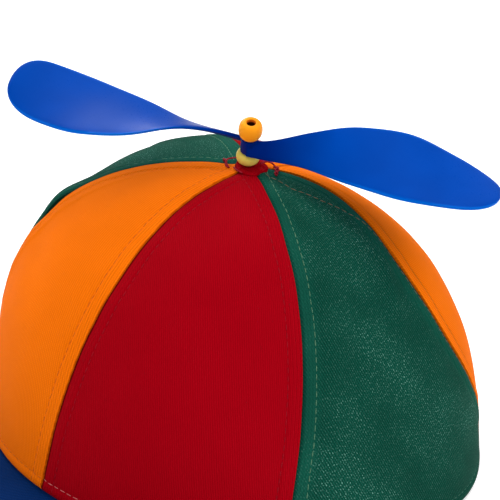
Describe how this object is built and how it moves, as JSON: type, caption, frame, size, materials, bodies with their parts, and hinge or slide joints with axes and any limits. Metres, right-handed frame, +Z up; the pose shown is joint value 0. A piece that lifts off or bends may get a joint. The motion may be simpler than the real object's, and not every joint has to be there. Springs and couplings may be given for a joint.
{
  "type": "peaked six-panel cap with a spinning propeller",
  "caption": "Cotton panel cap with a curved peak and a two-bladed propeller that spins freely between two beads on a leaning spindle.",
  "frame": {"origin": "on the surface the cap stands on, under the middle of the whole cap's box", "axes": "+Z up; the peak points to -Y; the wearer's left is +X"},
  "size_m": [0.177, 0.2482, 0.1391],
  "materials": {
    "twill_crimson": "crimson cotton twill",
    "twill_green": "forest green cotton twill",
    "twill_orange": "orange cotton twill",
    "twill_navy": "navy cotton twill over a board",
    "post_plastic": "dark plain plastic",
    "bead_yellow": "pale yellow, semi-gloss",
    "blade_blue": "glossy blue moulding",
    "bead_orange": "orange, semi-gloss"
  },
  "bodies": {
    "cap": {"panel_front_left": "twill_crimson", "panel_side_left": "twill_green", "panel_back_left": "twill_orange", "panel_back_right": "twill_crimson", "panel_side_right": "twill_green", "panel_front_right": "twill_orange", "peak": "twill_navy", "spindle": "post_plastic", "base_bead": "bead_yellow", "top_bead": "bead_orange"},
    "propeller": {"propeller": "blade_blue"}
  },
  "joints": [
    {"name": "propeller_spin", "type": "hinge", "parent": "cap", "child": "propeller", "pos_m": [-0.00152, 0.04509, 0.11063], "axis": [0.282, -0.2049, 0.9373], "continuous": true}
  ]
}
